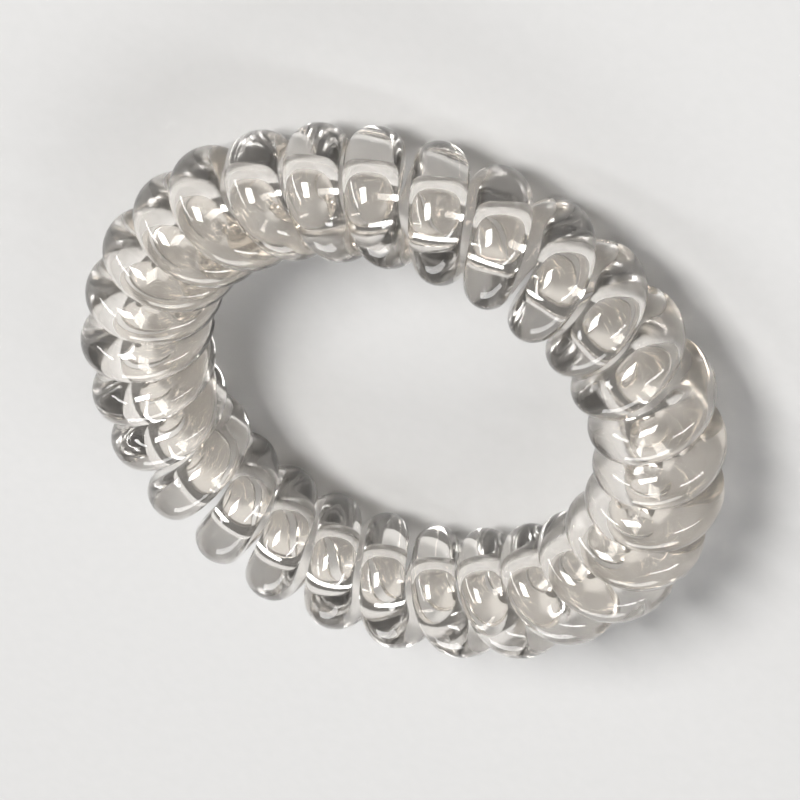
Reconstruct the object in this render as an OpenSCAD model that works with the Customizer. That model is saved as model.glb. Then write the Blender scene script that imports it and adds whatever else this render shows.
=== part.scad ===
// Spiral hair tie: one clear strand wound as a coil, the coil bent round and closed into a ring.
// Lengths are millimetres and angles are degrees. The tie lies on its side, so its opening faces up.

/* [Ring] */
// Diameter across the outside of the ring, over opposite turns
ring_od = 50; // [42:1:58]
// Diameter across one turn of the coil, over the strand
coil_od = 10; // [8.5:0.25:12]

/* [Strand] */
// Width of the strand, along the coil
strand_w = 3.75; // [2.8:0.05:4.2]
// Thickness of the strand, across the coil
strand_t = 3.4; // [2.6:0.1:4]
// How much narrower the strand is where its turns crowd inside the ring, and wider outside it
press = 0.4; // [0:0.05:0.5]
// Least gap between neighbouring turns inside the ring
turn_gap = 0.1; // [0.1:0.05:1.2]

/* [Set of the turns] */
// How much further apart turns are than on average on one side of the ring, and closer opposite
spread = 0.04; // [0:0.01:0.08]
// How far single turns stray sideways at the outside of the ring
splay = 0.3; // [0:0.05:0.4]
// How far single turns stand proud of the others, or below them
uneven = 0.1; // [0:0.02:0.16]

/* [Weld] */
// Length of strand that is swollen where its two ends are joined
weld_length = 4; // [3:0.25:8]
// How far the swelling stands proud of the strand
weld_swell = 0.16; // [0:0.02:0.3]

/* [Hidden] */

// Radius of the coil's own axis round the ring, and of the strand's middle round that axis
ring_r = (ring_od - coil_od) / 2;
wind_r = (coil_od - strand_t) / 2;

// Turns are closest inside the ring. Each needs the squeezed strand and a gap, measured square to the
// strand, which takes more room along the ring because the strand crosses it at a slant.
turn_room = strand_w - press + turn_gap;
turn_spacing = turn_room / sqrt(1 - pow(turn_room / (2 * PI * wind_r), 2));
turns = floor(2 * PI * (ring_r - wind_r) * (1 - spread) / turn_spacing);

// Length of strand in one turn, at the middle of the ring, and in the whole tie
turn_length = norm([2 * PI * wind_r, 2 * PI * ring_r / turns]);
strand_length = turns * turn_length;

// Places round the ring where the ends are joined, on the outside of a turn, and where turns spread
weld_angle = 120;
spread_angle = 95;

// How the tie has set, one row for each eighth of the way round, starting at the weld:
// change of the ring's radius as a share of it, rise as a share of the strand's thickness,
// and lean of the turns
RADIUS = 0;
RISE = 1;
LEAN = 2;
SET = [
    [0.004, 0.00, 3.5],
    [0.010, 0.03, 0.5],
    [0.002, 0.06, -3.0],
    [-0.010, 0.03, 0.5],
    [-0.006, 0.00, 3.0],
    [0.006, 0.02, 0.0],
    [0.008, 0.05, 1.5],
    [-0.006, 0.02, 4.5],
];

// Waves round the ring that make up the stray of the turns and their unevenness
SPLAY_WAVES = [7, 11];
UNEVEN_WAVES = [9, 13];

// Facets: sides of the strand, and an even number of sections in each turn, with fewer on a tie of
// more turns
sides = 12;
most_sections = 16;
most_triangles = 11800;
sections_per_turn = 2 * floor(min(most_sections, most_triangles / (2 * sides * turns)) / 2);
sections = turns * sections_per_turn;

// Step along the strand over which its direction is measured, as a share of its length
slope_step = 1 / (64 * turns);

function unit(v) = v / norm(v);

// Smooth curve through four neighbouring rows of the table
function curve_through(a, b, c, d, t) =
    b + t / 2 * (c - a + t * (2 * a - 5 * b + 4 * c - d + t * (3 * (b - c) + d - a)));

// Value of a column of the table at a share u of the way round
function set_at(column, u) =
    let (
        rows = len(SET),
        at = u * rows,
        row = floor(at),
        near = [for (i = [-1:2]) SET[(row + i + 2 * rows) % rows][column]]
    )
    curve_through(near[0], near[1], near[2], near[3], at - row);

// Sum of two waves round the ring, between -1 and 1
function ripple(waves, u) = (sin(360 * waves[0] * u) + cos(360 * waves[1] * u)) / 2;

// Angle round the coil's own axis: 0 is outside the ring. The coil is wound right-handed.
function wind_angle(u) = -360 * turns * u;

// Angle round the ring, which grows faster where turns spread
function ring_angle(u) =
    let (even = weld_angle + 360 * u)
    even + spread * sin(even - spread_angle) * 180 / PI;

// Middle of the strand at a share u of its length
function strand_middle(u) =
    let (
        wind = wind_angle(u),
        reach = wind_r + uneven * ripple(UNEVEN_WAVES, u),
        radius = ring_r * (1 + set_at(RADIUS, u)) + reach * cos(wind),
        rise = reach * sin(wind),
        outside = (1 + cos(wind)) / 2,
        slide = tan(set_at(LEAN, u)) * rise + splay * outside * ripple(SPLAY_WAVES, u),
        angle = ring_angle(u) + slide / radius * 180 / PI
    )
    [radius * cos(angle), radius * sin(angle), rise + strand_t * set_at(RISE, u)];

// Growth of the strand near the weld, which is at both ends of its length
function weld_growth(u) =
    let (away = min(u, 1 - u) * strand_length / (weld_length / 2))
    away < 1 ? weld_swell * (1 + cos(180 * away)) / 2 : 0;

// Outline of the strand at a share u of its length: an oval square to the strand
function section(u) =
    let (
        wind = wind_angle(u),
        middle = strand_middle(u),
        along = unit(strand_middle(u + slope_step) - strand_middle(u - slope_step)),
        ring_out = unit([middle.x, middle.y, 0]),
        coil_out = cos(wind) * ring_out + [0, 0, sin(wind)],
        out = unit(coil_out - (coil_out * along) * along),
        side = cross(along, out),
        growth = weld_growth(u),
        thick_r = strand_t / 2 + growth,
        wide_r = (strand_w + press * cos(wind)) / 2 + growth
    )
    [for (k = [0:sides - 1])
        let (a = 360 * k / sides)
        middle + thick_r * cos(a) * out + wide_r * sin(a) * side];

// Number of a corner in the list of points, counting on round the ring and round the strand
function corner(i, k) = (i % sections) * sides + k % sides;

// The closed strand, centred over the origin and resting on the surface below it
module strand() {
    points = [for (i = [0:sections - 1]) each section(i / sections)];
    faces = [
        for (i = [0:sections - 1], k = [0:sides - 1])
            each [
                [corner(i, k), corner(i + 1, k), corner(i + 1, k + 1)],
                [corner(i, k), corner(i + 1, k + 1), corner(i, k + 1)],
            ]
    ];
    low = [for (axis = [0:2]) min([for (p = points) p[axis]])];
    high = [for (axis = [0:2]) max([for (p = points) p[axis]])];
    middle = (low + high) / 2;
    color([0.93, 0.92, 0.89, 0.5])
        translate([-middle.x, -middle.y, -low.z])
            polyhedron(points = points, faces = faces);
}

strand();
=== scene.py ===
"""A clear spiral hair tie, lying on its side on a pale floor under soft studio light.

The tie is one plastic strand, wound as a coil and bent round into a ring, its two ends welded
together. The strand is rolled from a flat sheet and wound by the rule that shapes the solid of the
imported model, from the same sizes. Lengths are in metres, and angles are in degrees where a name
says so.
"""
import math

import bmesh
import bpy
from mathutils import Matrix, Vector, noise


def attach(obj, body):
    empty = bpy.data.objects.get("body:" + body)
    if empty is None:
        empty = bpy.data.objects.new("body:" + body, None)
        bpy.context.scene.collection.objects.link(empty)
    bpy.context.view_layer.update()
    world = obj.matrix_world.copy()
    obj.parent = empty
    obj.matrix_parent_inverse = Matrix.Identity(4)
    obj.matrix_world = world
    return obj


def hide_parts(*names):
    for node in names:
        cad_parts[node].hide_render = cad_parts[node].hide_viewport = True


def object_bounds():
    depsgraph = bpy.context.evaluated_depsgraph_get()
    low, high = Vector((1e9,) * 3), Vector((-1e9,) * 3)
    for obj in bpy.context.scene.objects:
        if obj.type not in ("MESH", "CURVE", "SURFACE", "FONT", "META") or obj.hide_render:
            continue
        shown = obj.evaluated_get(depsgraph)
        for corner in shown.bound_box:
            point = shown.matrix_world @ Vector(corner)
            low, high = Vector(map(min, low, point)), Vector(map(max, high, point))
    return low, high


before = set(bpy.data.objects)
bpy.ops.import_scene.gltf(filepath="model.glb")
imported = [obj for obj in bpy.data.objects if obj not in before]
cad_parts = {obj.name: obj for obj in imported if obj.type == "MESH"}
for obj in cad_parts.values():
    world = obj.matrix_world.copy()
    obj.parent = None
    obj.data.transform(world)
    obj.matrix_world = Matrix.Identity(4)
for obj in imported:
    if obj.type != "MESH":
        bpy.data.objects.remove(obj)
cad_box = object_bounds()

MM = 0.001

# The tie's own sizes
RING_OD = 50 * MM
COIL_OD = 10 * MM
STRAND_W = 3.75 * MM  # along the coil
STRAND_T = 3.4 * MM  # across the coil
PRESS = 0.4 * MM  # narrower by this much inside the ring, and wider by as much outside
TURNS = 28
SPREAD = 0.04  # how much further apart turns are than on average on one side of the ring
SPLAY = 0.3 * MM  # how far single turns stray sideways outside the ring
UNEVEN = 0.1 * MM  # how far single turns stand proud of the others, or below them
WELD_ANGLE_DEG = 120
SPREAD_ANGLE_DEG = 95
WELD_LENGTH = 4 * MM
WELD_SWELL = 0.16 * MM

RING_R = (RING_OD - COIL_OD) / 2
WIND_R = (COIL_OD - STRAND_T) / 2
STRAND_LENGTH = TURNS * math.hypot(math.tau * WIND_R, math.tau * RING_R / TURNS)

# How the tie has set, a row for each eighth of the way round from the weld: change of the ring's
# radius as a share of it, rise as a share of the strand's thickness, and lean of the turns in
# degrees
RADIUS, RISE, LEAN = range(3)
SET = (
    (0.004, 0.00, 3.5),
    (0.010, 0.03, 0.5),
    (0.002, 0.06, -3.0),
    (-0.010, 0.03, 0.5),
    (-0.006, 0.00, 3.0),
    (0.006, 0.02, 0.0),
    (0.008, 0.05, 1.5),
    (-0.006, 0.02, 4.5),
)
SPLAY_WAVES = (7, 11)
UNEVEN_WAVES = (9, 13)

# Fineness of the strand's mesh, and the step over which the strand's direction is measured
SIDES = 36
SECTIONS = 80 * TURNS
SLOPE_STEP = 1 / (64 * TURNS)

# Slow waves in the strand's surface, as soft plastic has once it has cooled
WAVE_HEIGHT = 0.03 * MM
WAVE_LENGTH = 2.2 * MM
WAVE_STRETCH = 2.5  # how much longer the waves are along the strand than round it

# The thin bead of plastic pressed out where the two ends met
BEAD_RISE = 0.07 * MM
BEAD_HALF_WIDTH = 0.55 * MM

# The plastic: how clear it is, and its colour and roughness where it is clearest and where haziest
CLEARNESS = 0.97
REFRACTION = 1.5
CLEAREST = (0.992, 0.966, 0.931, 1)
HAZIEST = (0.966, 0.929, 0.880, 1)
GLOSS = 0.03
HAZE_GLOSS = 0.06
HAZE_PER_M = 260  # hazy patches are about 4 mm across
HAZE_FROM, HAZE_TO = 0.42, 0.68  # noise at which haze starts, and is full

# Fine lines along the strand, from drawing it out: about 0.4 mm apart
LINES_PER_M = 2600
LINE_SQUEEZE = 0.03  # how much slower they change along the strand than round it
LINE_DEPTH = 0.006 * MM
LINE_GLOSS = 0.03

# The floor: its two greys, how matt it is, and how fine its grain is
FLOOR_DARKER = (0.440, 0.442, 0.446, 1)
FLOOR_LIGHTER = (0.460, 0.462, 0.466, 1)
FLOOR_ROUGHNESS = 0.85
FLOOR_SHEEN = 0.2
GRAIN_PER_M = 900


# Winding the strand

def set_at(column, way):
    """A column of the table at a share of the way round, on a smooth curve through its rows."""
    row, t = divmod(way * len(SET), 1)
    a, b, c, d = (SET[(int(row) + i) % len(SET)][column] for i in (-1, 0, 1, 2))
    return b + t / 2 * (c - a + t * (2 * a - 5 * b + 4 * c - d + t * (3 * (b - c) + d - a)))


def ripple(waves, way):
    """The sum of two waves round the ring, between -1 and 1."""
    return (math.sin(math.tau * waves[0] * way) + math.cos(math.tau * waves[1] * way)) / 2


def wind_angle(way):
    """The angle round the coil's own axis, which is 0 outside the ring."""
    return -math.tau * TURNS * way


def ring_angle(way):
    """The angle round the ring, which grows faster where turns spread."""
    even = math.radians(WELD_ANGLE_DEG) + math.tau * way
    return even + SPREAD * math.sin(even - math.radians(SPREAD_ANGLE_DEG))


def strand_middle(way):
    """The middle of the strand at a share of its length."""
    wind = wind_angle(way)
    reach = WIND_R + UNEVEN * ripple(UNEVEN_WAVES, way)
    radius = RING_R * (1 + set_at(RADIUS, way)) + reach * math.cos(wind)
    rise = reach * math.sin(wind)
    outside = (1 + math.cos(wind)) / 2
    slide = math.tan(math.radians(set_at(LEAN, way))) * rise
    slide += SPLAY * outside * ripple(SPLAY_WAVES, way)
    angle = ring_angle(way) + slide / radius
    height = rise + STRAND_T * set_at(RISE, way)
    return Vector((radius * math.cos(angle), radius * math.sin(angle), height))


def hump(distance, half_width):
    """A smooth hump: 1 at no distance, and 0 from half_width on."""
    share = min(abs(distance) / half_width, 1)
    return (1 + math.cos(math.pi * share)) / 2


def section_at(way):
    """Where a section of the strand lies: its middle, its two directions and its two radii."""
    wind = wind_angle(way)
    middle = strand_middle(way)
    along = strand_middle(way + SLOPE_STEP) - strand_middle(way - SLOPE_STEP)
    along.normalize()
    ring_out = Vector((middle.x, middle.y, 0)).normalized()
    coil_out = math.cos(wind) * ring_out + Vector((0, 0, math.sin(wind)))
    out = (coil_out - coil_out.dot(along) * along).normalized()
    from_weld = min(way, 1 - way) * STRAND_LENGTH
    growth = WELD_SWELL * hump(from_weld, WELD_LENGTH / 2)
    growth += BEAD_RISE * hump(from_weld, BEAD_HALF_WIDTH)
    thick_r = STRAND_T / 2 + growth
    wide_r = (STRAND_W + PRESS * math.cos(wind)) / 2 + growth
    return middle, out, along.cross(out), thick_r, wide_r


def surface_wave(straight):
    """How far the surface stands proud at a place on the strand as laid out straight."""
    from_end = min(straight.z, STRAND_LENGTH - straight.z)
    place = Vector((straight.x, straight.y, straight.z / WAVE_STRETCH)) / WAVE_LENGTH
    fade = 1 - hump(from_end, WELD_LENGTH)
    return WAVE_HEIGHT * fade * noise.noise(place)


def wind_strand():
    """The strand: a flat sheet rolled into a tube, wound on to the ring and closed at the weld."""
    bm = bmesh.new()
    bmesh.ops.create_grid(bm, x_segments=SIDES, y_segments=SECTIONS, size=0.5)
    laid_straight = bm.verts.layers.float_vector.new("laid_straight")
    sections = [section_at(i / SECTIONS) for i in range(SECTIONS + 1)]
    for v in bm.verts:
        roll, way = math.tau * v.co.x, v.co.y + 0.5
        across, up = math.cos(roll), math.sin(roll)
        straight = Vector((across * STRAND_T / 2, up * STRAND_W / 2, way * STRAND_LENGTH))
        v[laid_straight] = straight
        middle, out, side, thick_r, wide_r = sections[round(way * SECTIONS)]
        wave = surface_wave(straight)
        v.co = middle + (thick_r + wave) * across * out + (wide_r + wave) * up * side
    bmesh.ops.remove_doubles(bm, verts=bm.verts[:], dist=0.001 * MM)
    bmesh.ops.recalc_face_normals(bm, faces=bm.faces[:])
    low = [min(v.co[i] for v in bm.verts) for i in range(3)]
    high = [max(v.co[i] for v in bm.verts) for i in range(3)]
    move = Vector((-(low[0] + high[0]) / 2, -(low[1] + high[1]) / 2, -low[2]))
    bmesh.ops.translate(bm, verts=bm.verts[:], vec=move)
    for f in bm.faces:
        f.smooth = True
    mesh = bpy.data.meshes.new("clear_strand")
    bm.to_mesh(mesh)
    bm.free()
    strand = bpy.data.objects.new("clear_strand", mesh)
    bpy.context.collection.objects.link(strand)
    return strand


# Finishes

class Value:
    """A shader socket, which sums and products can be written with."""

    def __init__(self, tree, socket):
        self.tree, self.socket = tree, socket

    def maths(self, operation, a, b):
        node = self.tree.nodes.new("ShaderNodeMath")
        node.operation = operation
        for socket, value in zip(node.inputs, (a, b)):
            plug(self.tree, socket, value)
        return Value(self.tree, node.outputs[0])

    def __add__(self, other):
        return self.maths("ADD", self, other)

    def __mul__(self, other):
        return self.maths("MULTIPLY", self, other)

    __radd__ = __add__
    __rmul__ = __mul__


def plug(tree, socket, value):
    """Links a Value to a socket, or sets it to a number or a colour."""
    if isinstance(value, Value):
        tree.links.new(value.socket, socket)
    else:
        socket.default_value = value


class Finish:
    """A material, and the one method that adds nodes to it."""

    def __init__(self, name):
        self.material = bpy.data.materials.new(name)
        self.material.use_nodes = True
        self.tree = self.material.node_tree
        self.tree.nodes.clear()
        self.output = self.tree.nodes.new("ShaderNodeOutputMaterial")

    def node(self, kind, settings=None, out=0, **inputs):
        """Adds a node of a kind with its settings, then its sockets' values or links."""
        node = self.tree.nodes.new("ShaderNode" + kind)
        for name, value in (settings or {}).items():
            setattr(node, name, value)
        for name, value in inputs.items():
            plug(self.tree, node.inputs[name.replace("_", " ")], value)
        return Value(self.tree, node.outputs[out])

    def blend(self, share, a, b):
        """Colour a, and b where share is 1."""
        node = self.tree.nodes.new("ShaderNodeMix")
        node.data_type = "RGBA"
        for socket, value in zip((node.inputs[0], node.inputs[6], node.inputs[7]), (share, a, b)):
            plug(self.tree, socket, value)
        return Value(self.tree, node.outputs[2])

    def show(self, surface):
        plug(self.tree, self.output.inputs["Surface"], surface)
        return self.material


def clear_plastic():
    """Clear soft plastic: bright and glossy, faintly warm and hazy, with fine draw lines."""
    f = Finish("clear_plastic")
    along = f.node("Attribute", {"attribute_name": "laid_straight"}, out=1)
    place = f.node("TexCoord", out=3)
    drawn = f.node("Mapping", Vector=along, Scale=(1, 1, LINE_SQUEEZE))
    lines = f.node("TexNoise", Vector=drawn, Scale=LINES_PER_M, Detail=1.0, Roughness=0.6)
    patches = f.node("TexNoise", Vector=place, Scale=HAZE_PER_M, Detail=2.0, Roughness=0.6)
    haze = f.node("MapRange", Value=patches, From_Min=HAZE_FROM, From_Max=HAZE_TO)
    surface = f.node(
        "BsdfPrincipled",
        Base_Color=f.blend(haze, CLEAREST, HAZIEST),
        Roughness=GLOSS + haze * HAZE_GLOSS + lines * LINE_GLOSS,
        IOR=REFRACTION,
        Transmission_Weight=CLEARNESS,
        Normal=f.node("Bump", Strength=1.0, Distance=LINE_DEPTH, Height=lines),
    )
    return f.show(surface)


def pale_floor():
    """Matt pale paper."""
    f = Finish("pale_floor")
    place = f.node("TexCoord", out=3)
    grain = f.node("TexNoise", Vector=place, Scale=GRAIN_PER_M, Detail=1.0)
    paper = f.node(
        "BsdfPrincipled",
        Base_Color=f.blend(grain, FLOOR_DARKER, FLOOR_LIGHTER),
        Roughness=FLOOR_ROUGHNESS,
        Specular_IOR_Level=FLOOR_SHEEN,
    )
    return f.show(paper)


# The studio

# The photo looks down on the tie at this angle above the plane of its ring. It is rolled past half
# a turn, because the side of the tie that is nearest the camera is at the top.
ELEVATION_DEG = 42
ROLL_DEG = 207
CAMERA_SIDE_DEG = 226  # angle round the ring that faces the camera
LENS_MM = 240
SENSOR_MM = 36
FILL = 0.85  # share of the picture's width that the tie takes
FLOOR_RADIUS = 2.5
ROOM_COLOUR = (1.0, 0.97, 0.93, 1)
ROOM_STRENGTH = 0.12


def towards(azimuth_deg, elevation_deg):
    """A direction, at an azimuth from the camera's side towards the right of the picture."""
    azimuth = math.radians(CAMERA_SIDE_DEG - azimuth_deg)
    elevation = math.radians(elevation_deg)
    flat = Vector((math.cos(azimuth), math.sin(azimuth), 0)) * math.cos(elevation)
    return flat + Vector((0, 0, math.sin(elevation)))


def add_camera():
    """Looks down at the middle of the tie, from where the tie takes its share of the picture."""
    data = bpy.data.cameras.new("camera")
    data.lens = LENS_MM
    data.sensor_width = SENSOR_MM
    camera = bpy.data.objects.new("camera", data)
    bpy.context.collection.objects.link(camera)
    low, high = cad_box
    distance = (high.x - low.x) / FILL * LENS_MM / SENSOR_MM
    back = towards(0, ELEVATION_DEG)
    roll = Matrix.Rotation(math.radians(ROLL_DEG), 3, "Z")
    turn = back.to_track_quat("Z", "Y").to_matrix() @ roll
    camera.matrix_world = Matrix.Translation((low + high) / 2 + back * distance) @ turn.to_4x4()
    bpy.context.scene.camera = camera


def add_floor():
    """A round floor, wide enough that its edge is never seen."""
    bm = bmesh.new()
    bmesh.ops.create_circle(bm, cap_ends=True, segments=96, radius=FLOOR_RADIUS)
    mesh = bpy.data.meshes.new("floor")
    bm.to_mesh(mesh)
    bm.free()
    floor = bpy.data.objects.new("floor", mesh)
    floor.data.materials.append(pale_floor())
    bpy.context.collection.objects.link(floor)


def add_softbox(name, azimuth_deg, elevation_deg, distance, width, height, watts, colour=(1, 1, 1)):
    """A soft rectangular light that faces the tie."""
    data = bpy.data.lights.new(name, "AREA")
    data.shape = "RECTANGLE"
    data.size, data.size_y = width, height
    data.energy = watts
    data.color = colour
    light = bpy.data.objects.new(name, data)
    away = towards(azimuth_deg, elevation_deg)
    light.location = away * distance
    light.rotation_euler = away.to_track_quat("Z", "Y").to_euler()
    bpy.context.collection.objects.link(light)


def add_world():
    """A dim, even room."""
    world = bpy.data.worlds.new("room")
    world.use_nodes = True
    background = world.node_tree.nodes["Background"]
    background.inputs["Color"].default_value = ROOM_COLOUR
    background.inputs["Strength"].default_value = ROOM_STRENGTH
    bpy.context.scene.world = world


add_camera()
strand = wind_strand()
strand.data.materials.append(clear_plastic())
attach(strand, "root")
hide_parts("strand")

add_floor()
add_world()
add_softbox(
    "key", azimuth_deg=-50, elevation_deg=45, distance=2.0, width=0.8, height=0.8, watts=67.0,
    colour=(1.0, 0.98, 0.95),
)
add_softbox(
    "back", azimuth_deg=150, elevation_deg=30, distance=2.4, width=2.4, height=0.72, watts=29.0,
)
add_softbox(
    "left", azimuth_deg=-95, elevation_deg=30, distance=2.0, width=0.2, height=1.4, watts=13.0,
)
add_softbox(
    "right", azimuth_deg=75, elevation_deg=28, distance=2.0, width=0.2, height=1.4, watts=14.5,
)
bpy.context.scene.view_settings.view_transform = "Standard"
